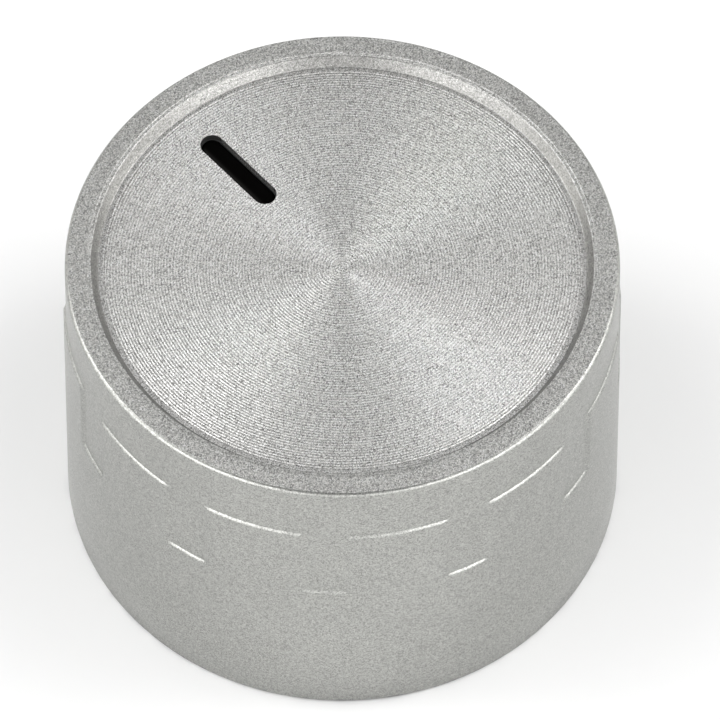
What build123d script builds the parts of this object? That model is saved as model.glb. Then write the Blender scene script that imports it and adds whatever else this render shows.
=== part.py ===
"""Rotary control knob for a hob: a drafted cap with a recessed face, pushed over a ribbed core
that grips a D-shaped spindle. Millimetres, +Z up, origin at the centre of the base rim, pointer at +Y."""

import os
from math import cos, radians, sin, tan

from build123d import *

# Outside of the cap
base_radius = 20.0  # outer radius of the wall where it stands
height = 26.7  # base rim to the top of the rim
draft = 1.05  # degrees that the wall leans in, outside and inside alike
wall = 1.8  # thickness of the side wall
base_edge = 0.25  # chamfer of the wall's foot, outside
rim_edge = 0.45  # rounding of the rim's outer edge

# Grip pads: the lower wall stands proud of the neck, and short channels part its upper edge into pads
pad_count = 12
pad_rise = 0.17  # how far a pad stands out of the neck
pad_fall = 0.33  # height of the slope on a pad's upper edge, and on the ledge below a channel
pad_top = 21.6  # height of the pads' upper edge
channel_foot = 14.5  # height of the ledge that closes each channel below
channel_angle = 10.0  # degrees of the wall that one channel takes
channel_side = 30.0  # degrees between a channel's flank and the wall

# Face
rim_width = 1.5  # flat band on top of the rim
rebate_width = 0.32  # small step round the rim's inner edge
rebate_depth = 0.06
recess_depth = 0.9  # rim to face
recess_lean = 32.0  # degrees that the recess wall leans out of the vertical
face_thickness = 1.8
roof_corner = 0.8  # bevel where the roof meets the wall, inside

# Pointer: a bar of the core that shows through a slot in the face
pointer_length = 7.3
pointer_width = 1.7
pointer_margin = 2.3  # slot end to the foot of the recess wall
pointer_sink = 0.45  # bar top below the face
pointer_gap = 0.08  # all round, bar to slot
pointer_edge = 0.2  # chamfer of the bar's top edge

# Core
core_gap = 0.1  # radial, core to cap
plate_thickness = 2.0
collar_wall = 1.6
collar_foot = 13.0  # height of the collar's lower edge
hub_foot = 5.0  # height of the hub's mouth
hub_wall = 2.4
rib_count = 6
rib_thickness = 1.2
rib_drop = 3.0  # how much lower a rib reaches at the hub than the collar does

# Keys: ridges inside the cap's wall that sit in notches down the collar
key_count = 4
key_width = 2.4
key_rise = 0.9  # out of the wall
key_foot = 8.0  # height of a key's lower end
key_gap = 0.1  # key to notch, all round

# Spindle socket
spindle_radius = 3.0
spindle_flat = 1.6  # spindle axis to its flat
spindle_gap = 0.06  # spindle to socket, all round
socket_depth = 15.0  # from the mouth
lead_in = 4.0  # length of the round stretch at the socket's mouth
lead_in_gap = 0.3  # radial, spindle to that stretch
mouth_chamfer = 0.5
slit_width = 1.0
slit_depth = 6.5  # from the mouth

# Spring ring: a split band that squeezes the slit end of the hub
ring_thickness = 0.6
ring_height = 1.6
ring_offset = 1.3  # mouth to ring
ring_sink = 0.4  # depth of its seat in the hub
ring_gap = 0.03  # ring to its seat
ring_opening = 40.0  # degrees left open

lean = tan(radians(draft))
pitch = 360.0 / pad_count
face_z = height - recess_depth
roof_z = face_z - face_thickness
plate_foot = roof_z - plate_thickness
socket_radius = spindle_radius + spindle_gap
socket_flat = spindle_flat + spindle_gap
hub_radius = socket_radius + hub_wall
ring_foot = hub_foot + ring_offset
seat_radius = hub_radius - ring_sink


def wall_radius(z, inset=0.0):
    """Radius at height z of the drafted wall, or of a surface that runs inset inside it."""
    return base_radius - inset - z * lean


def half_plane(angle):
    """Upright plane through the axis, its x pointing out at that angle."""
    turn = radians(angle)
    return Plane(origin=(0, 0, 0), x_dir=(cos(turn), sin(turn), 0), z_dir=(sin(turn), -cos(turn), 0))


def shoulder(z, inset, edge):
    """Ends, as (radius, height), of the chamfer that closes the drafted wall at height z:
    on the wall, then on top."""
    foot = z - edge
    return (wall_radius(foot, inset), foot), (wall_radius(foot, inset) - edge, z)


def ledge(z):
    """Ends, as (radius, height), of the slope that falls from the neck at height z to the wall:
    on the wall, then as far again inside the neck."""
    return (wall_radius(z - pad_fall), z - pad_fall), (wall_radius(z) - 2 * pad_rise, z + pad_fall)


def round_planes(count, first):
    """Upright planes through the axis, evenly turned from the first angle."""
    return [half_plane(first + 360 / count * i) for i in range(count)]


rim_radius = wall_radius(height, pad_rise)
rebate_radius = rim_radius - rim_width
lip_radius = rebate_radius - rebate_width
floor_radius = lip_radius - (recess_depth - rebate_depth) * tan(radians(recess_lean))
pointer_centre = floor_radius - pointer_margin - pointer_length / 2

# One channel, as the shape to take away: deeper than the neck, which fills it again to its own surface
over = 1.0
channel_floor = wall_radius(channel_foot, pad_rise) - over / 2
channel_mouth = wall_radius(channel_foot)
channel_half = channel_mouth * tan(radians(channel_angle / 2))
flank_run = 1 / tan(radians(channel_side))
with BuildPart() as channel:
    ledge_outer, ledge_inner = ledge(channel_foot)
    with BuildSketch(half_plane(-channel_angle)):
        with BuildLine():
            Polyline(
                ledge_outer,
                ledge_inner,
                (channel_floor, channel_foot + pad_fall),
                (channel_floor, pad_top + over),
                (channel_mouth + over, pad_top + over),
                (channel_mouth + over, channel_foot - pad_fall),
                close=True,
            )
        make_face()
    revolve(axis=Axis.Z, revolution_arc=2 * channel_angle)
    with BuildSketch(Plane.XY.offset(channel_foot - over)):
        with BuildLine():
            floor_half = channel_half - (channel_mouth - channel_floor) * flank_run
            Polyline(
                (channel_mouth + over, channel_half + over * flank_run),
                (channel_floor, floor_half),
                (channel_floor, -floor_half),
                (channel_mouth + over, -channel_half - over * flank_run),
                close=True,
            )
        make_face()
    extrude(amount=pad_top - channel_foot + 3 * over, mode=Mode.INTERSECT)

with BuildPart() as outer_shell:
    # Proud lower wall, parted by the channels
    pad_outer, pad_inner = ledge(pad_top)
    with BuildSketch(Plane.XZ):
        with BuildLine():
            Polyline(
                pad_outer,
                pad_inner,
                (0, pad_top + pad_fall),
                (0, 0),
                (base_radius - base_edge, 0),
                (wall_radius(base_edge), base_edge),
                close=True,
            )
        make_face()
    revolve(axis=Axis.Z)
    with PolarLocations(0, pad_count, start_angle=pitch / 2):
        add(channel.part, mode=Mode.SUBTRACT)

    # Neck, rim and recessed face
    with BuildSketch(Plane.XZ):
        with BuildLine():
            rim_centre = (wall_radius(height - rim_edge, pad_rise) - rim_edge, height - rim_edge)
            rim = CenterArc(rim_centre, rim_edge, 0, 90)
            Polyline(
                rim @ 1,
                (rebate_radius, height),
                (rebate_radius, height - rebate_depth),
                (lip_radius, height - rebate_depth),
                (floor_radius, face_z),
                (0, face_z),
                (0, base_edge),
                (wall_radius(base_edge, pad_rise), base_edge),
                rim @ 0,
            )
        make_face()
    revolve(axis=Axis.Z)

    # Hollow
    roof_outer, roof_inner = shoulder(roof_z, wall, roof_corner)
    with BuildSketch(Plane.XZ):
        with BuildLine():
            hollow_foot = (wall_radius(-over, wall), -over)
            Polyline(roof_outer, roof_inner, (0, roof_z), (0, -over), hollow_foot, close=True)
        make_face()
    revolve(axis=Axis.Z, mode=Mode.SUBTRACT)

    # Keys, bevelled at the foot
    key_inset = wall + key_rise
    with BuildSketch(*round_planes(key_count, 180 / key_count)):
        with BuildLine():
            Polyline(
                (wall_radius(key_foot, wall / 2), key_foot - key_rise),
                (wall_radius(key_foot, wall), key_foot - key_rise),
                (wall_radius(key_foot, key_inset), key_foot),
                (wall_radius(roof_z, key_inset), roof_z + face_thickness / 2),
                (wall_radius(roof_z, wall / 2), roof_z + face_thickness / 2),
                close=True,
            )
        make_face()
    extrude(amount=key_width / 2, both=True)

    # Slot for the pointer
    with BuildSketch(Plane.XY.offset(face_z + over)):
        with Locations((0, pointer_centre)):
            SlotOverall(pointer_length, pointer_width, rotation=90)
    extrude(amount=-(face_thickness + 2 * over), mode=Mode.SUBTRACT)

with BuildPart() as hub_insert:
    # Plate, collar and hub
    collar_inset = wall + core_gap
    plate_outer, plate_inner = shoulder(roof_z, collar_inset, roof_corner)
    with BuildSketch(Plane.XZ):
        with BuildLine():
            Polyline(
                (0, roof_z),
                plate_inner,
                plate_outer,
                (wall_radius(collar_foot, collar_inset), collar_foot),
                (wall_radius(collar_foot, collar_inset + collar_wall), collar_foot),
                (wall_radius(plate_foot, collar_inset + collar_wall), plate_foot),
                (hub_radius, plate_foot),
                (hub_radius, ring_foot + ring_height + 2 * ring_gap),
                (seat_radius, ring_foot + ring_height + 2 * ring_gap),
                (seat_radius, ring_foot),
                (hub_radius, ring_foot),
                (hub_radius, hub_foot),
                (0, hub_foot),
                close=True,
            )
        make_face()
    revolve(axis=Axis.Z)

    # Ribs, deeper at the hub than at the collar
    rib_top = roof_z - plate_thickness / 2
    rib_end = wall_radius(collar_foot, collar_inset + collar_wall / 2)
    with BuildSketch(*round_planes(rib_count, 90)):
        with BuildLine():
            Polyline(
                (hub_radius - hub_wall / 2, rib_top),
                (wall_radius(rib_top, collar_inset + collar_wall / 2), rib_top),
                (rib_end, collar_foot),
                (wall_radius(collar_foot, collar_inset + collar_wall), collar_foot),
                (hub_radius, collar_foot - rib_drop),
                (hub_radius - hub_wall / 2, collar_foot - rib_drop),
                close=True,
            )
        make_face()
    extrude(amount=rib_thickness / 2, both=True)

    # Notches for the keys
    with BuildSketch(*round_planes(key_count, 180 / key_count)):
        with BuildLine():
            Polyline(
                (wall_radius(collar_foot - over, key_inset + key_gap), collar_foot - over),
                (wall_radius(collar_foot - over, 0), collar_foot - over),
                (wall_radius(roof_z + over, 0), roof_z + over),
                (wall_radius(roof_z + over, key_inset + key_gap), roof_z + over),
                close=True,
            )
        make_face()
    extrude(amount=key_width / 2 + key_gap, both=True, mode=Mode.SUBTRACT)

    # Pointer bar, standing in the slot
    with BuildSketch(Plane.XY.offset(roof_z - plate_thickness / 2)):
        with Locations((0, pointer_centre)):
            SlotOverall(pointer_length - 2 * pointer_gap, pointer_width - 2 * pointer_gap, rotation=90)
    extrude(amount=face_z - pointer_sink - (roof_z - plate_thickness / 2))
    chamfer(faces().sort_by(Axis.Z)[-1].edges(), pointer_edge)

    # Socket: round and wider at its mouth, then a D with its flat towards the pointer
    with BuildSketch(Plane.XY.offset(hub_foot)):
        Circle(spindle_radius + lead_in_gap)
    extrude(amount=lead_in, mode=Mode.SUBTRACT)
    chamfer(edges(Select.LAST).group_by(Axis.Z)[0], mouth_chamfer)
    with BuildSketch(Plane.XY.offset(hub_foot + lead_in)):
        Circle(socket_radius)
        with Locations((0, socket_flat)):
            Rectangle(2 * hub_radius, hub_radius, align=(Align.CENTER, Align.MIN), mode=Mode.SUBTRACT)
    extrude(amount=socket_depth - lead_in, mode=Mode.SUBTRACT)

    # Slit across the hub, so that the ring can squeeze it
    with BuildSketch(Plane.XY.offset(hub_foot)):
        Rectangle(2 * hub_radius + over, slit_width)
    extrude(amount=slit_depth, mode=Mode.SUBTRACT)

with BuildPart() as spring_ring:
    with BuildSketch(half_plane(90 + ring_opening / 2)):
        with Locations((seat_radius + ring_gap, ring_foot + ring_gap)):
            Rectangle(ring_thickness, ring_height, align=(Align.MIN, Align.MIN))
    revolve(axis=Axis.Z, revolution_arc=360 - ring_opening)

os.makedirs("parts", exist_ok=True)
outer_shell.part.label = "outer_shell"
export_step(outer_shell.part, "parts/outer_shell.step")
hub_insert.part.label = "hub_insert"
export_step(hub_insert.part, "parts/hub_insert.step")
spring_ring.part.label = "spring_ring"
export_step(spring_ring.part, "parts/spring_ring.step")
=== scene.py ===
import math

import bpy
import bmesh
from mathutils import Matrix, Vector


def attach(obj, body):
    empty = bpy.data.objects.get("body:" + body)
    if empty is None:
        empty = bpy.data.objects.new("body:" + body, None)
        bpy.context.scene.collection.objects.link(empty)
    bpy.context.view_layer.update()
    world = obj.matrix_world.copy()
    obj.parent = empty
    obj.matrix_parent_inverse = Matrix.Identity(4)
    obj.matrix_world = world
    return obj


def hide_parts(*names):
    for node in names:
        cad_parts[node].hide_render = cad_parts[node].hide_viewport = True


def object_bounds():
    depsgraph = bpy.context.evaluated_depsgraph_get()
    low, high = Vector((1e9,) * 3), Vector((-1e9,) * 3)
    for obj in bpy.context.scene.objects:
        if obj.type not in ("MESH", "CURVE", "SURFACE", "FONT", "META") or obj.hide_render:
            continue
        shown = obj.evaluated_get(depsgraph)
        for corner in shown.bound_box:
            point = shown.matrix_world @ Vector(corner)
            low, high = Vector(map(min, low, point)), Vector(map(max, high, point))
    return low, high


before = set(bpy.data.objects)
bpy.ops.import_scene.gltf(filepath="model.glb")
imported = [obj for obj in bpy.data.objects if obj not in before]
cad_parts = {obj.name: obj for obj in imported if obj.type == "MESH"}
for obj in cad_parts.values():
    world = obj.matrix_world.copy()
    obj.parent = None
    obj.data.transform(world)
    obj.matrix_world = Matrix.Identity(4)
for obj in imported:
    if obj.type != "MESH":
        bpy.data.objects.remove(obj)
cadLow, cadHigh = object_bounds()
mm = 0.001
print("frame loaded:", ", ".join(sorted(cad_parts)))


def deselectAll():
    if bpy.context.object and bpy.context.object.mode == "EDIT":
        bpy.ops.object.mode_set(mode="OBJECT")
    bpy.ops.object.select_all(action="DESELECT")


def openForEdit(piece):
    deselectAll()
    piece.select_set(True)
    bpy.context.view_layer.objects.active = piece
    bpy.ops.object.mode_set(mode="EDIT")


def closeEdit():
    bpy.ops.object.mode_set(mode="OBJECT")


def selectVerts(piece, wanted):
    # selects the vertices whose place passes the test, and tells how many did
    bpy.ops.mesh.select_mode(type="VERT")
    bpy.ops.mesh.select_all(action="DESELECT")
    mesh = bmesh.from_edit_mesh(piece.data)
    picked = 0
    for vert in mesh.verts:
        if wanted(vert.co):
            vert.select_set(True)
            picked += 1
    mesh.select_flush(True)
    bmesh.update_edit_mesh(piece.data)
    return picked


def selectFaces(piece, wanted):
    bpy.ops.mesh.select_mode(type="FACE")
    bpy.ops.mesh.select_all(action="DESELECT")
    mesh = bmesh.from_edit_mesh(piece.data)
    for face in mesh.faces:
        if wanted(face.calc_center_median(), face.normal):
            face.select_set(True)
    bmesh.update_edit_mesh(piece.data)


def drawProfile(name, outline):
    # one vertex, pushed out point by point in the XZ plane, as (radius, height)
    deselectAll()
    bpy.ops.mesh.primitive_plane_add(size=mm)
    piece = bpy.context.object
    piece.name = name
    bpy.ops.object.mode_set(mode="EDIT")
    bpy.ops.mesh.merge(type="CENTER")
    pen = Vector((outline[0][0], 0, outline[0][1]))
    bpy.ops.transform.translate(value=pen)
    for radius, height in outline[1:]:
        point = Vector((radius, 0, height))
        bpy.ops.mesh.extrude_region_move(TRANSFORM_OT_translate={"value": point - pen})
        pen = point
    return piece


def spinRound(steps):
    seam = 2e-8  # closer than this, the first and last points are one
    bpy.ops.mesh.select_all(action="SELECT")
    bpy.ops.mesh.spin(steps=steps, angle=math.tau, center=(0, 0, 0), axis=(0, 0, 1))
    bpy.ops.mesh.select_all(action="SELECT")
    bpy.ops.mesh.remove_doubles(threshold=seam)
    bpy.ops.mesh.normals_make_consistent(inside=False)


def angleOf(place):
    return math.degrees(math.atan2(place.y, place.x))


def radiusOf(place):
    return math.hypot(place.x, place.y)


def offCentre(angle, pitch, start):
    # degrees from the nearest of a ring of centres
    return abs((angle - start + pitch / 2) % pitch - pitch / 2)


cameraSetup = {
    "place": (-0.17490, -0.19769, 0.41924),
    "turn": (33.074, -0.125, -41.579),  # degrees
    "lens": 339.85,
    "sensor": 36.0,
    "clip": (0.01, 10.0),
}


def addCamera():
    deselectAll()
    turn = [math.radians(a) for a in cameraSetup["turn"]]
    bpy.ops.object.camera_add(location=cameraSetup["place"], rotation=turn)
    camera = bpy.context.object
    camera.name = "viewCamera"
    camera.data.lens = cameraSetup["lens"]
    camera.data.sensor_width = cameraSetup["sensor"]
    camera.data.clip_start, camera.data.clip_end = cameraSetup["clip"]
    bpy.context.scene.camera = camera


addCamera()
print("camera set")

capShape = {
    "height": cadHigh.z,
    # the wall's cone carried down to the floor: the foot's broken edge keeps it
    # just inside the frame's box
    "baseRadius": min(cadHigh.x, cadHigh.y) + 0.0035 * mm,
    "lean": math.tan(math.radians(1.05)),  # the wall leans in
    "wall": 1.8 * mm,
    "wallRings": (11.0 * mm, 7.5 * mm, 4.0 * mm),  # heights of the plain rings of points
    "baseEdge": 0.25 * mm,
    "baseBreak": 0.07 * mm,
    "baseInner": 0.1 * mm,
    "rimEdge": 0.45 * mm,
    "rimBreak": 62.0,  # degrees: the round starts with a slight corner at the flat rim
    "rimSupport": 0.02 * mm,  # to the ring of points that keeps the rim flat
    "rimWidth": 1.55 * mm,
    "rebateWidth": 0.27 * mm,
    "rebateDepth": 0.045 * mm,
    "rebateRound": 0.04 * mm,
    "rebateStart": 170.0,  # degrees at which that round begins
    "rebateSupport": 0.12 * mm,
    "recessDepth": 0.9 * mm,
    "recessLean": 28.0,  # degrees the recess wall leans
    "recessRound": 0.12 * mm,  # hollow between the face and that wall
    "lipRound": 0.12 * mm,
    "faceThickness": 1.8 * mm,
    "roofCorner": 0.8 * mm,
    "padRise": 0.17 * mm,
    "padEdge": 0.44 * mm,
    "padHollow": 0.12 * mm,  # lacquer lying in the corner above each ledge
    "padTop": 21.65 * mm,
    "padRings": (19.8 * mm, 18.0 * mm, 16.2 * mm),
    "neckRings": (24.6 * mm, 22.8 * mm),
    "channelFoot": 14.55 * mm,
    "padPitch": 30.0,  # degrees
    "channelStart": 15.0,
    "channelAngle": 10.0,
    "ringPitch": 0.209 * mm,
    "ringDepth": 0.026 * mm,
    "moat": 0.34 * mm,  # plain band between the rings and the recess wall
    "faceReach": 17.0 * mm,  # radius that the whole face lies within
    "smoothAngle": 32.0,  # degrees
    "steps": 360,
    "arcParts": {"ledgeHollow": 4, "ledgeEdge": 7, "recess": 6, "lip": 5, "rebate": 4, "rimEdge": 8},
}


def wallRadius(height, inset=0.0):
    return capShape["baseRadius"] - inset - height * capShape["lean"]


def arcPoints(centre, radius, start, stop, parts):
    # points on an arc, angles in degrees, both ends included
    points = []
    for i in range(parts + 1):
        turn = math.radians(start + (stop - start) * i / parts)
        points.append((centre[0] + radius * math.cos(turn), centre[1] + radius * math.sin(turn)))
    return points


def ledgeOutline(height):
    # a ledge from the neck's surface down to the wall: a small hollow, then a wide round
    s = capShape
    parts = s["arcParts"]
    reach = s["padHollow"] + s["padEdge"]
    steepest = math.degrees(math.acos(1 - s["padRise"] / reach))
    hollow = (wallRadius(height, s["padRise"]) + s["padHollow"], height)
    edge = (wallRadius(height) - s["padEdge"], height - reach * math.sin(math.radians(steepest)))
    hollowPoints = arcPoints(hollow, s["padHollow"], 180, 180 + steepest, parts["ledgeHollow"])
    return hollowPoints[:-1] + arcPoints(edge, s["padEdge"], steepest, 0, parts["ledgeEdge"])


def recessOutline(top, face):
    # out from the last ring: plain band, hollow, leaning wall, rounded lip, step and rim
    s = capShape
    parts = s["arcParts"]
    rebate = wallRadius(top, s["padRise"]) - s["rimWidth"]
    lipTop = top - s["rebateDepth"]
    lip = rebate - s["rebateWidth"]
    foot = lip - (lipTop - face) * math.tan(math.radians(s["recessLean"]))
    rise = 90 - s["recessLean"]
    reach = math.tan(math.radians(rise / 2))
    small = s["rebateRound"]
    hollowCentre = (foot - s["recessRound"] * reach, face + s["recessRound"])
    lipCentre = (lip + s["lipRound"] * reach, lipTop - s["lipRound"])
    points = arcPoints(hollowCentre, s["recessRound"], -90, rise - 90, parts["recess"])
    points += arcPoints(lipCentre, s["lipRound"], 90 + rise, 90, parts["lip"])
    points += [(rebate - small, lipTop)]
    rebateCentre = (rebate + small, top - small)
    points += arcPoints(rebateCentre, small, s["rebateStart"], 90, parts["rebate"])
    return foot, points + [(rebate + s["rebateSupport"], top)]


def ringCount(foot):
    return round((foot - capShape["moat"]) / capShape["ringPitch"])


def capOutline():
    s = capShape
    top = s["height"]
    face = top - s["recessDepth"]
    foot, recess = recessOutline(top, face)
    outline = [(0, face)]
    for i in range(ringCount(foot)):  # turned rings: a valley and a crest each
        outline.append(((i + 0.5) * s["ringPitch"], face - s["ringDepth"]))
        outline.append(((i + 1.0) * s["ringPitch"], face))
    outline += recess
    drop = s["rimEdge"] * math.sin(math.radians(s["rimBreak"]))
    corner = (wallRadius(top - drop, s["padRise"]) - s["rimEdge"], top - drop)
    edge = arcPoints(corner, s["rimEdge"], s["rimBreak"], 0, s["arcParts"]["rimEdge"])
    outline += [(edge[0][0] - s["rimSupport"], top)] + edge
    outline += [(wallRadius(h, s["padRise"]), h) for h in s["neckRings"]]
    outline += ledgeOutline(s["padTop"])
    outline += [(wallRadius(h), h) for h in s["padRings"]]
    outline += [(wallRadius(h), h) for _, h in ledgeOutline(s["channelFoot"])]
    outline += [(wallRadius(h), h) for h in s["wallRings"] + (s["baseEdge"],)]
    outline += [
        (s["baseRadius"] - s["baseBreak"], s["baseBreak"]),
        (s["baseRadius"] - s["baseEdge"], 0),
        (wallRadius(0, s["wall"]) + s["baseInner"], 0),
        (wallRadius(s["baseInner"], s["wall"]), s["baseInner"]),
    ]
    roof = face - s["faceThickness"]
    k = keyShape
    insideRings = (k["foot"] - k["rise"], k["foot"], k["middle"], roof - k["topGap"])
    outline += [(wallRadius(h, s["wall"]), h) for h in insideRings]
    outline += [(wallRadius(roof, s["wall"]), roof - s["roofCorner"])]
    outline += [(wallRadius(roof, s["wall"]) - s["roofCorner"], roof), (0, roof)]
    return outline


def sinkChannels(piece):
    # each ring of vertices is drawn in to the neck's surface where a channel runs
    s = capShape
    halfAngle = s["channelAngle"] / 2 - 0.5  # the sides take up the last step
    heightSlack, radiusSlack = 0.004 * mm, 0.01 * mm
    rings = [(wallRadius(h), r, h) for r, h in ledgeOutline(s["channelFoot"])]
    rings += [(wallRadius(h), wallRadius(h, s["padRise"]), h) for h in s["padRings"]]
    rings += [(r, wallRadius(h, s["padRise"]), h) for r, h in ledgeOutline(s["padTop"])]
    for fromRadius, toRadius, height in rings:
        count = selectVerts(
            piece,
            lambda p: abs(p.z - height) < heightSlack
            and abs(radiusOf(p) - fromRadius) < radiusSlack
            and offCentre(angleOf(p), s["padPitch"], s["channelStart"]) < halfAngle,
        )
        k = toRadius / fromRadius
        bpy.ops.transform.resize(value=(k, k, 1), center_override=(0, 0, 0))
    print("  channels sunk,", count, "points a ring")


keyShape = {
    "rise": 0.9 * mm,  # out of the inside of the wall
    "foot": 8.0 * mm,
    "middle": 15.0 * mm,
    "topGap": 1.2 * mm,  # below the roof, behind the core's collar
    "pitch": 90.0,  # degrees
    "start": 45.0,
    "halfAngle": 4.0,
}


def raiseKeys(piece):
    # ridges down the inside of the wall, drawn out of its faces
    s = capShape
    k = keyShape
    roof = s["height"] - s["recessDepth"] - s["faceThickness"]
    slack = 0.05 * mm
    selectFaces(
        piece,
        lambda p, n: k["foot"] < p.z < roof - k["topGap"]
        and abs(radiusOf(p) - wallRadius(p.z, s["wall"])) < slack
        and offCentre(angleOf(p), k["pitch"], k["start"]) < k["halfAngle"],
    )
    bpy.ops.mesh.extrude_region_shrink_fatten(TRANSFORM_OT_shrink_fatten={"value": k["rise"]})


slotShape = {
    "length": 7.3 * mm,
    "width": 1.7 * mm,
    "endRound": 0.9995,  # as a share of half the width
    "endSegments": 12,
    "centre": 11.05 * mm,
    "foot": 25.3 * mm,  # where the slot draws in round the pointer bar
    "drawIn": 0.04 * mm,
    "below": 4 * mm,
    "above": 2 * mm,
}


def cutSlot(piece):
    s = slotShape
    upright = 0.9  # the least that an upright edge or normal has along Z
    deselectAll()
    bpy.ops.mesh.primitive_cube_add(size=1, location=(0, s["centre"], s["foot"] + s["above"] / 2))
    cutter = bpy.context.object
    cutter.scale = (s["width"], s["length"], s["above"])
    bpy.ops.object.transform_apply(location=False, rotation=False, scale=True)
    openForEdit(cutter)
    bpy.ops.mesh.select_mode(type="EDGE")
    bpy.ops.mesh.select_all(action="DESELECT")
    mesh = bmesh.from_edit_mesh(cutter.data)
    for edge in mesh.edges:
        if abs((edge.verts[0].co - edge.verts[1].co).normalized().z) > upright:
            edge.select_set(True)
    bmesh.update_edit_mesh(cutter.data)
    endRadius = s["width"] / 2 * s["endRound"]
    bpy.ops.mesh.bevel(offset=endRadius, segments=s["endSegments"], affect="EDGES")
    # below its foot the slot is a little narrower, and runs on through the face
    selectFaces(cutter, lambda p, n: n.z < -upright)
    bpy.ops.mesh.extrude_region_move(TRANSFORM_OT_translate={"value": (0, 0, -s["drawIn"])})
    narrow, short = [1 - 2 * s["drawIn"] / s[side] for side in ("width", "length")]
    bpy.ops.transform.resize(value=(narrow, short, 1), center_override=(0, s["centre"], 0))
    bpy.ops.mesh.extrude_region_move(TRANSFORM_OT_translate={"value": (0, 0, -s["below"])})
    bpy.ops.mesh.select_all(action="SELECT")
    bpy.ops.mesh.normals_make_consistent(inside=False)
    closeEdit()
    deselectAll()
    piece.select_set(True)
    bpy.context.view_layer.objects.active = piece
    cut = piece.modifiers.new("slot", "BOOLEAN")
    cut.operation = "DIFFERENCE"
    cut.solver = "EXACT"
    cut.object = cutter
    bpy.ops.object.modifier_apply(modifier="slot")
    bpy.data.objects.remove(cutter)


def sharpenRings(piece):
    # the turned rings keep a crisp edge at every crest and valley
    s = capShape
    face = s["height"] - s["recessDepth"]
    slack = 0.03 * mm
    openForEdit(piece)
    selectFaces(piece, lambda p, n: abs(p.z - face) < slack and radiusOf(p) < s["faceReach"])
    bpy.ops.mesh.mark_sharp()
    closeEdit()


def makeCap():
    cap = drawProfile("knobCap", capOutline())
    spinRound(capShape["steps"])
    print("  cap spun:", len(bmesh.from_edit_mesh(cap.data).verts), "points")
    sinkChannels(cap)
    raiseKeys(cap)
    closeEdit()
    cutSlot(cap)
    bpy.ops.object.shade_smooth_by_angle(angle=math.radians(capShape["smoothAngle"]))
    sharpenRings(cap)
    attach(cap, "root")
    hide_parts("outer_shell")
    return cap


def newGroup(name, inputs, outputs):
    tree = bpy.data.node_groups.new(name, "ShaderNodeTree")
    for label, kind, value in inputs:
        socket = tree.interface.new_socket(name=label, in_out="INPUT", socket_type=kind)
        if value is not None:
            socket.default_value = value
    for label, kind in outputs:
        tree.interface.new_socket(name=label, in_out="OUTPUT", socket_type=kind)
    return tree, tree.nodes.new("NodeGroupInput"), tree.nodes.new("NodeGroupOutput")


def mathNode(tree, operation, a, b=None):
    node = tree.nodes.new("ShaderNodeMath")
    node.operation = operation
    for socket, value in zip(node.inputs, (a, b)):
        if isinstance(value, bpy.types.NodeSocket):
            tree.links.new(value, socket)
        elif value is not None:
            socket.default_value = value
    return node.outputs[0]


def rangeNode(tree, value, fromMin, fromMax, toMin=0.0, toMax=1.0):
    node = tree.nodes.new("ShaderNodeMapRange")
    node.interpolation_type = "SMOOTHSTEP"
    tree.links.new(value, node.inputs["Value"])
    labels = ("From Min", "From Max", "To Min", "To Max")
    for label, setting in zip(labels, (fromMin, fromMax, toMin, toMax)):
        if isinstance(setting, bpy.types.NodeSocket):
            tree.links.new(setting, node.inputs[label])
        else:
            node.inputs[label].default_value = setting
    return node.outputs[0]


def noiseRange(tree, noise, low, high):
    # nearly all of a noise lies between these two
    return rangeNode(tree, noise, 0.3, 0.7, low, high)


def noiseNode(tree, place, scale, detail=2.0):
    node = tree.nodes.new("ShaderNodeTexNoise")
    tree.links.new(place, node.inputs["Vector"])
    if isinstance(scale, bpy.types.NodeSocket):
        tree.links.new(scale, node.inputs["Scale"])
    else:
        node.inputs["Scale"].default_value = scale
    node.inputs["Detail"].default_value = detail
    return node.outputs["Fac"]


def makeFlakeGroup():
    # metal flakes in a lacquer: each cell has a tone of its own, and a few get a painted glint, a
    # lighter colour standing in for a highlight
    tree, given, made = newGroup(
        "metalFlakes",
        [
            ("Place", "NodeSocketVector", None),
            ("Scale", "NodeSocketFloat", 8000.0),
            ("Contrast", "NodeSocketFloat", 0.2),
            ("Glints", "NodeSocketFloat", 0.3),
        ],
        [("Shade", "NodeSocketFloat"), ("Glint", "NodeSocketFloat"), ("Height", "NodeSocketFloat")],
    )
    cells = []
    for factor in (1.0, 0.73):  # two layers of cells, of unlike size
        voronoi = tree.nodes.new("ShaderNodeTexVoronoi")
        tree.links.new(given.outputs["Place"], voronoi.inputs["Vector"])
        scale = mathNode(tree, "MULTIPLY", given.outputs["Scale"], factor)
        tree.links.new(scale, voronoi.inputs["Scale"])
        split = tree.nodes.new("ShaderNodeSeparateColor")
        tree.links.new(voronoi.outputs["Color"], split.inputs[0])
        cells.append(split)
    mixed = mathNode(tree, "ADD", cells[0].outputs[0], cells[1].outputs[0])
    centred = mathNode(tree, "SUBTRACT", mixed, 1.0)
    spread = mathNode(tree, "MULTIPLY", centred, given.outputs["Contrast"])
    glint = rangeNode(tree, cells[0].outputs[1], 0.9, 1.0)  # painted glint: one cell in ten is lighter
    glintShare = mathNode(tree, "MULTIPLY", glint, given.outputs["Glints"])
    shade = mathNode(tree, "ADD", mathNode(tree, "ADD", spread, 1.0), glintShare)
    tree.links.new(shade, made.inputs["Shade"])
    tree.links.new(glint, made.inputs["Glint"])
    height = noiseNode(tree, given.outputs["Place"], given.outputs["Scale"], 1.0)
    tree.links.new(height, made.inputs["Height"])
    return tree


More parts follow.
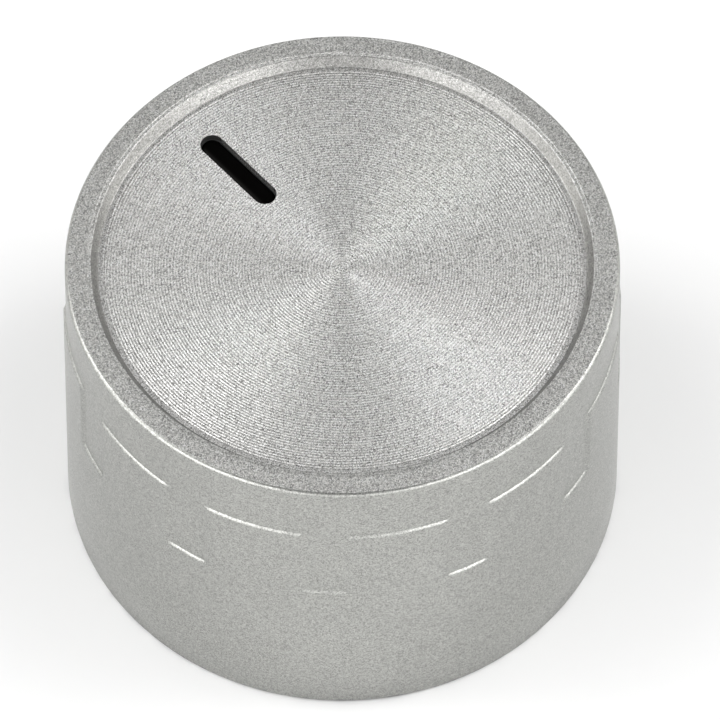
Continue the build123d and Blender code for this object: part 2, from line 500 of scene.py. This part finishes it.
def makeSpeckGroup():
    # dust and pinholes: a few small dark dots, and wide faint clouds
    tree, given, made = newGroup(
        "dustSpecks",
        [
            ("Place", "NodeSocketVector", None),
            ("Scale", "NodeSocketFloat", 500.0),
            ("Size", "NodeSocketFloat", 0.06),
            ("Share", "NodeSocketFloat", 0.05),
        ],
        [("Speck", "NodeSocketFloat"), ("Cloud", "NodeSocketFloat")],
    )
    voronoi = tree.nodes.new("ShaderNodeTexVoronoi")
    tree.links.new(given.outputs["Place"], voronoi.inputs["Vector"])
    tree.links.new(given.outputs["Scale"], voronoi.inputs["Scale"])
    split = tree.nodes.new("ShaderNodeSeparateColor")
    tree.links.new(voronoi.outputs["Color"], split.inputs[0])
    near = mathNode(tree, "LESS_THAN", voronoi.outputs["Distance"], given.outputs["Size"])
    chosen = mathNode(tree, "LESS_THAN", split.outputs[0], given.outputs["Share"])
    tree.links.new(mathNode(tree, "MULTIPLY", near, chosen), made.inputs["Speck"])
    tree.links.new(noiseNode(tree, given.outputs["Place"], 160.0, 3.0), made.inputs["Cloud"])
    return tree


flakeGroup = makeFlakeGroup()
speckGroup = makeSpeckGroup()


def placeGroup(tree, group, place, settings):
    node = tree.nodes.new("ShaderNodeGroup")
    node.node_tree = group
    tree.links.new(place, node.inputs["Place"])
    for label, value in settings.items():
        node.inputs[label].default_value = value
    return node


def mixColour(tree, factor, first, second, kind="MIX"):
    node = tree.nodes.new("ShaderNodeMix")
    node.data_type = "RGBA"
    node.blend_type = kind
    for socket, value in ((node.inputs[0], factor), (node.inputs[6], first), (node.inputs[7], second)):
        if isinstance(value, bpy.types.NodeSocket):
            tree.links.new(value, socket)
        else:
            socket.default_value = value
    return node.outputs[2]


def startMaterial(name, settings):
    finish = bpy.data.materials.new(name)
    finish.use_nodes = True
    tree = finish.node_tree
    shader = tree.nodes["Principled BSDF"]
    for label, value in settings.items():
        shader.inputs[label].default_value = value
    place = tree.nodes.new("ShaderNodeTexCoord").outputs["Object"]
    return finish, tree, shader, place


def addBump(tree, shader, height, strength, distance):
    bump = tree.nodes.new("ShaderNodeBump")
    bump.inputs["Strength"].default_value = strength
    bump.inputs["Distance"].default_value = distance
    tree.links.new(height, bump.inputs["Height"])
    tree.links.new(bump.outputs["Normal"], shader.inputs["Normal"])


def fromAxis(tree, place):
    # distance from the Z axis
    flat = tree.nodes.new("ShaderNodeVectorMath")
    flat.operation = "MULTIPLY"
    flat.inputs[1].default_value = (1, 1, 0)
    tree.links.new(place, flat.inputs[0])
    distance = tree.nodes.new("ShaderNodeVectorMath")
    distance.operation = "LENGTH"
    tree.links.new(flat.outputs[0], distance.inputs[0])
    return distance.outputs["Value"]


def scaledColour(tree, colour, shade):
    # colour times a varying shade
    grey = tree.nodes.new("ShaderNodeCombineColor")
    for socket in grey.inputs:
        tree.links.new(shade, socket)
    return mixColour(tree, 1.0, colour, grey.outputs[0], "MULTIPLY")


lacquerLook = {
    # bump in mm, flakes in cells a metre
    # one silver lacquer: the wall and recess colours are darker copies of the rim and face colour,
    # painted shade
    "wall": {
        "colour": (0.362, 0.364, 0.346, 1),
        "rough": 0.33, "contrast": 0.48, "glints": 0.12, "bump": 0.006, "flakes": 15500.0,
    },
    "rim": {
        "colour": (0.64, 0.637, 0.617, 1),
        "rough": 0.38, "contrast": 0.75, "glints": 0.9, "bump": 0.016, "flakes": 15500.0,
    },
    "recess": {
        "colour": (0.29, 0.288, 0.278, 1),
        "rough": 0.34, "contrast": 0.6, "glints": 0.8, "bump": 0.008, "flakes": 15500.0,
    },
    "face": {
        "colour": (0.65, 0.643, 0.625, 1),
        "rough": 0.375, "contrast": 1.0, "glints": 0.8, "bump": 0.007, "flakes": 20000.0,
    },
    "roughSpread": 0.06,
    "ringPaintedShade": 0.21,  # painted shade: how much darker a valley is than the mean, and a crest lighter as a painted highlight
    # the plain band beyond the rings is painted lighter, painted light
    "moatPaintedLight": 1.05,
    "dust": {"Scale": 420.0, "Size": 0.05, "Share": 0.03},
    "dustColour": (0.09, 0.088, 0.083, 1),
    "mouldingColour": (0.018, 0.018, 0.018, 1),
    # the slot walls: the dark moulding painted lighter, standing in for the light on them
    "slotPaintedLightColour": (0.027, 0.027, 0.026, 1),
    "footRag": 0.9 * mm,  # how far up the foot's ragged line can run
    "footFade": (0.28 * mm, 0.36 * mm),
    "overspray": {"Scale": 2600.0, "Size": 0.35, "Share": 0.35},
    "sprayHeight": 5 * mm,
    "sprayShare": 0.75,
    "mouldingGrain": 5000.0,
    "mouldingRough": (0.5, 0.62),
    "mouldingBump": 0.01 * mm,
}


def paintRingShade(tree, place, ringsEnd):
    # painted shade in each valley of the turned rings and a painted highlight on each crest; the rings
    # end at a plain band, painted lighter
    s = lacquerLook
    radius = fromAxis(tree, place)
    part = mathNode(tree, "FRACT", mathNode(tree, "DIVIDE", radius, capShape["ringPitch"]))
    fromValley = mathNode(tree, "ABSOLUTE", mathNode(tree, "SUBTRACT", part, 0.5))
    ring = rangeNode(tree, fromValley, 0.0, 0.5, 1 - s["ringPaintedShade"], 1 + s["ringPaintedShade"])
    ringed = mathNode(tree, "LESS_THAN", radius, ringsEnd)
    return rangeNode(tree, ringed, 0.0, 1.0, s["moatPaintedLight"], ring)


def makeLacquer(name, look, specked=False, ringsEnd=0.0):
    s = lacquerLook
    finish, tree, shader, place = startMaterial(name, {})
    grain = {"Scale": look["flakes"], "Contrast": look["contrast"], "Glints": look["glints"]}
    flakes = placeGroup(tree, flakeGroup, place, grain)
    dust = dict(s["dust"])
    if not specked:
        dust["Share"] = 0.0
    specks = placeGroup(tree, speckGroup, place, dust)
    cloud = noiseRange(tree, specks.outputs["Cloud"], 0.985, 1.015)
    shade = mathNode(tree, "MULTIPLY", flakes.outputs["Shade"], cloud)
    # painted shade and highlight of the turned rings
    if ringsEnd:
        shade = mathNode(tree, "MULTIPLY", shade, paintRingShade(tree, place, ringsEnd))
    tone = scaledColour(tree, look["colour"], shade)
    tone = mixColour(tree, specks.outputs["Speck"], tone, s["dustColour"])
    # at the foot the lacquer thins out in a ragged line over the dark moulding
    split = tree.nodes.new("ShaderNodeSeparateXYZ")
    tree.links.new(place, split.inputs[0])
    ragged = mathNode(tree, "MULTIPLY", noiseNode(tree, place, 900.0, 4.0), s["footRag"])
    edge = mathNode(tree, "SUBTRACT", ragged, split.outputs["Z"])
    bare = rangeNode(tree, edge, *s["footFade"])
    tone = mixColour(tree, bare, tone, s["mouldingColour"])
    tree.links.new(tone, shader.inputs["Base Color"])
    smoothest, roughest = look["rough"] - s["roughSpread"], look["rough"] + s["roughSpread"]
    rough = rangeNode(tree, flakes.outputs["Height"], 0.25, 0.75, smoothest, roughest)
    tree.links.new(rough, shader.inputs["Roughness"])
    tree.links.new(mathNode(tree, "SUBTRACT", 1.0, bare), shader.inputs["Metallic"])
    addBump(tree, shader, flakes.outputs["Height"], 1.0, look["bump"] * mm)
    return finish


def makeMoulding(name, colour):
    # dark plastic with silver overspray drifting in at the foot
    s = lacquerLook
    finish, tree, shader, place = startMaterial(name, {"Specular IOR Level": 0.4})
    specks = placeGroup(tree, speckGroup, place, s["overspray"])
    split = tree.nodes.new("ShaderNodeSeparateXYZ")
    tree.links.new(place, split.inputs[0])
    drift = rangeNode(tree, split.outputs["Z"], 0.0, s["sprayHeight"], s["sprayShare"], 0.0)
    spray = mathNode(tree, "MULTIPLY", specks.outputs["Speck"], drift)
    cloud = noiseRange(tree, specks.outputs["Cloud"], 0.8, 1.2)
    tone = scaledColour(tree, colour, cloud)
    tree.links.new(mixColour(tree, spray, tone, s["wall"]["colour"]), shader.inputs["Base Color"])
    grain = noiseNode(tree, place, s["mouldingGrain"])
    tree.links.new(noiseRange(tree, grain, *s["mouldingRough"]), shader.inputs["Roughness"])
    addBump(tree, shader, grain, 0.5, s["mouldingBump"])
    return finish


regionEdges = {
    "wallSkin": 1 * mm,  # how deep the wall's outside reaches in
    "rimBand": 2.1 * mm,
    "aboveFace": 0.5 * mm,  # all of the rim is higher than this over the face
    "rimFlat": 0.93,  # the least that a normal of the rim has along Z
    "faceTop": 0.002 * mm,
    "belowFace": 0.06 * mm,  # lower than any ring's valley
    "slotSlack": 0.1 * mm,
}


def regionOf(spot, normal):
    # which part of the cap a face belongs to, told by where it lies
    e = regionEdges
    top = capShape["height"]
    turned = top - capShape["recessDepth"]
    inside = radiusOf(spot) < wallRadius(spot.z) - e["wallSkin"]
    onTop = spot.z > turned + e["aboveFace"] and normal.z > e["rimFlat"]
    if inside and spot.z < turned - e["belowFace"]:
        return "slot" if spot.z > slotShape["foot"] - e["slotSlack"] else "moulding"
    if onTop and radiusOf(spot) > wallRadius(top) - e["rimBand"]:
        return "rim"
    if inside:
        return "face" if spot.z < turned + e["faceTop"] else "recess"
    return "wall"


def dressCap(piece):
    s = lacquerLook
    top = capShape["height"]
    foot, _ = recessOutline(top, top - capShape["recessDepth"])
    ringsEnd = ringCount(foot) * capShape["ringPitch"]
    finishes = {
        # the wall and recess get darkened copies of the lacquer as painted shade
        "wall": makeLacquer("satinLacquerPaintedShade", s["wall"], specked=True),
        "rim": makeLacquer("rimLacquer", s["rim"]),
        "recess": makeLacquer("recessLacquerPaintedShade", s["recess"]),
        "face": makeLacquer("turnedLacquer", s["face"], ringsEnd=ringsEnd),
        "moulding": makeMoulding("darkMoulding", s["mouldingColour"]),
        "slot": makeMoulding("slotMouldingPaintedLight", s["slotPaintedLightColour"]),
    }
    for finish in finishes.values():
        piece.data.materials.append(finish)
    order = list(finishes)
    for face in piece.data.polygons:
        face.material_index = order.index(regionOf(face.center, face.normal))


cap = makeCap()
dressCap(cap)
print("cap made:", len(cap.data.polygons), "faces")

# the hub and the spring ring keep the frame's own shapes
hubLook = {
    "colour": (0.0035, 0.0032, 0.003, 1),
    "barPaintedShade": (0.0009, 0.0008, 0.0007, 1),
    "edgePaintedHighlight": (0.024, 0.023, 0.022, 1),
    "dustColour": (0.06, 0.06, 0.058, 1),
    "dust": {"Scale": 700.0, "Size": 0.06, "Share": 0.06},
    "barFoot": (23.0 * mm, 24.0 * mm),  # height at which the bar's deeper black, painted shade, sets in
    "barEdge": (0.25 * mm, 0.8 * mm),  # from its middle to its greyer edge, a painted highlight
    "grain": 3500.0,
    "rough": (0.36, 0.5),
    "bump": 0.006 * mm,
    "coat": 0.8,
}


def makeBlackPlastic():
    s = hubLook
    sheen = {"Specular IOR Level": 0.02, "Coat Roughness": 0.3}
    finish, tree, shader, place = startMaterial("blackPlastic", sheen)
    specks = placeGroup(tree, speckGroup, place, s["dust"])
    grain = noiseNode(tree, place, s["grain"], 3.0)
    cloud = noiseRange(tree, specks.outputs["Cloud"], 0.8, 1.3)
    tone = scaledColour(tree, s["colour"], cloud)
    tone = mixColour(tree, specks.outputs["Speck"], tone, s["dustColour"])
    # the pointer bar in its slot is painted a deeper black as shade, and a little greyer along one edge
    # as a painted highlight
    split = tree.nodes.new("ShaderNodeSeparateXYZ")
    tree.links.new(place, split.inputs[0])
    bar = rangeNode(tree, split.outputs["Z"], *s["barFoot"])
    side = rangeNode(tree, mathNode(tree, "MULTIPLY", split.outputs["X"], -1.0), *s["barEdge"])
    tone = mixColour(tree, bar, tone, mixColour(tree, side, s["barPaintedShade"], s["edgePaintedHighlight"]))
    tree.links.new(tone, shader.inputs["Base Color"])
    tree.links.new(noiseRange(tree, grain, *s["rough"]), shader.inputs["Roughness"])
    addBump(tree, shader, grain, 0.5, s["bump"])
    # the moulded inside has a sheen, the pointer bar in its slot has none
    coat = rangeNode(tree, split.outputs["Z"], *s["barFoot"], s["coat"], 0.0)
    tree.links.new(coat, shader.inputs["Coat Weight"])
    return finish


ringLook = {
    "colour": (0.42, 0.42, 0.41, 1),
    "tarnishColour": (0.12, 0.1, 0.08, 1),
    "tarnish": {"Scale": 900.0, "Size": 0.12, "Share": 0.08},
    "lines": 400.0,
    "stretch": (1, 1, 60),  # fine rolling lines run round the strip
    "rough": (0.24, 0.4),
    "bump": 0.004 * mm,
}


def makeSpringSteel():
    s = ringLook
    finish, tree, shader, place = startMaterial("springSteel", {"Metallic": 1.0})
    stretch = tree.nodes.new("ShaderNodeMapping")
    stretch.inputs["Scale"].default_value = s["stretch"]
    tree.links.new(place, stretch.inputs["Vector"])
    lines = noiseNode(tree, stretch.outputs["Vector"], s["lines"], 4.0)
    specks = placeGroup(tree, speckGroup, place, s["tarnish"])
    tone = scaledColour(tree, s["colour"], noiseRange(tree, lines, 0.8, 1.15))
    tone = mixColour(tree, specks.outputs["Speck"], tone, s["tarnishColour"])
    tree.links.new(tone, shader.inputs["Base Color"])
    tree.links.new(noiseRange(tree, lines, *s["rough"]), shader.inputs["Roughness"])
    addBump(tree, shader, lines, 0.4, s["bump"])
    return finish


def dressNode(name, finish):
    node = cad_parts[name]
    node.data.materials.clear()
    node.data.materials.append(finish)


dressNode("hub_insert", makeBlackPlastic())
dressNode("spring_ring", makeSpringSteel())
print("hub and ring dressed")

stageLook = {
    "floorSize": 1.6,
    "floorDrop": 0.02 * mm,
    "floorColour": (0.88, 0.88, 0.88, 1),
    "skyColour": (1, 1, 1, 1),
    "skyStrength": 0.38,
    "horizonStrength": 0.6,
    "horizonFade": (0.12, 0.48),  # sine of the height at which the sky takes over
    "aim": (0, 0, 13 * mm),
    "facing": -41.5,  # degrees the set is turned by, as the camera is
}


def addFloor():
    deselectAll()
    s = stageLook
    bpy.ops.mesh.primitive_plane_add(size=s["floorSize"], location=(0, 0, -s["floorDrop"]))
    floor = bpy.context.object
    floor.name = "floor"
    bpy.ops.object.transform_apply(location=True, rotation=False, scale=False)
    matt = {"Roughness": 0.9, "Specular IOR Level": 0.1}
    finish, tree, shader, place = startMaterial("paleFloor", matt)
    cloud = noiseRange(tree, noiseNode(tree, place, 6.0, 2.0), 0.99, 1.01)
    tree.links.new(scaledColour(tree, s["floorColour"], cloud), shader.inputs["Base Color"])
    # seen from below and under the knob the floor is clear, so that the underside shows
    clear = tree.nodes.new("ShaderNodeBsdfTransparent")
    side = tree.nodes.new("ShaderNodeNewGeometry")
    mix = tree.nodes.new("ShaderNodeMixShader")
    covered = mathNode(tree, "LESS_THAN", fromAxis(tree, place), wallRadius(0, capShape["baseEdge"]))
    tree.links.new(mathNode(tree, "MAXIMUM", side.outputs["Backfacing"], covered), mix.inputs[0])
    tree.links.new(shader.outputs[0], mix.inputs[1])
    tree.links.new(clear.outputs[0], mix.inputs[2])
    tree.links.new(mix.outputs[0], tree.nodes["Material Output"].inputs["Surface"])
    floor.data.materials.append(finish)


softBoxes = [
    {"name": "softLeft", "toward": (-0.74, 0.1, 0.62), "away": 0.7, "size": (0.3, 0.96), "power": 3.0},
    {"name": "softRight", "toward": (0.74, 0.1, 0.62), "away": 0.7, "size": (0.3, 0.96), "power": 3.0},
    {"name": "lowLeft", "toward": (-0.75, -0.6, 0.25), "away": 0.8, "size": (0.86, 0.44), "power": 3.85},
    {"name": "lowRight", "toward": (0.75, -0.6, 0.25), "away": 0.8, "size": (0.86, 0.44), "power": 3.85},
    {"name": "lowFront", "toward": (0.0, -1.0, 0.2), "away": 0.8, "size": (0.7, 0.34), "power": 0.95},
    {"name": "backLeft", "toward": (-0.8, 0.6, 0.45), "away": 0.8, "size": (0.5, 0.36), "power": 0.45},
    {"name": "backRight", "toward": (0.8, 0.6, 0.45), "away": 0.8, "size": (0.5, 0.36), "power": 0.45},
]


def addSoftBox(s):
    turn = math.radians(stageLook["facing"])
    x, y, z = s["toward"]
    across = x * math.cos(turn) - y * math.sin(turn)
    along = x * math.sin(turn) + y * math.cos(turn)
    toward = Vector((across, along, z))
    aim = Vector(stageLook["aim"])
    deselectAll()
    bpy.ops.object.light_add(
        type="AREA",
        location=aim + toward.normalized() * s["away"],
        rotation=toward.to_track_quat("Z", "Y").to_euler(),
    )
    lamp = bpy.context.object
    lamp.name = s["name"]
    lamp.data.shape = "RECTANGLE"
    lamp.data.size, lamp.data.size_y = s["size"]
    lamp.data.energy = s["power"]


def lightWorld():
    s = stageLook
    world = bpy.data.worlds.new("studio")
    bpy.context.scene.world = world
    world.use_nodes = True
    tree = world.node_tree
    backdrop = tree.nodes["Background"]
    backdrop.inputs["Color"].default_value = s["skyColour"]
    # brighter low down, where the white floor turns up into the backdrop
    split = tree.nodes.new("ShaderNodeSeparateXYZ")
    tree.links.new(tree.nodes.new("ShaderNodeTexCoord").outputs["Generated"], split.inputs[0])
    strengths = (s["horizonStrength"], s["skyStrength"])
    strength = rangeNode(tree, split.outputs["Z"], *s["horizonFade"], *strengths)
    tree.links.new(strength, backdrop.inputs["Strength"])


addFloor()
for softBox in softBoxes:
    addSoftBox(softBox)
lightWorld()
bpy.context.scene.view_settings.view_transform = "Standard"
print("stage set")
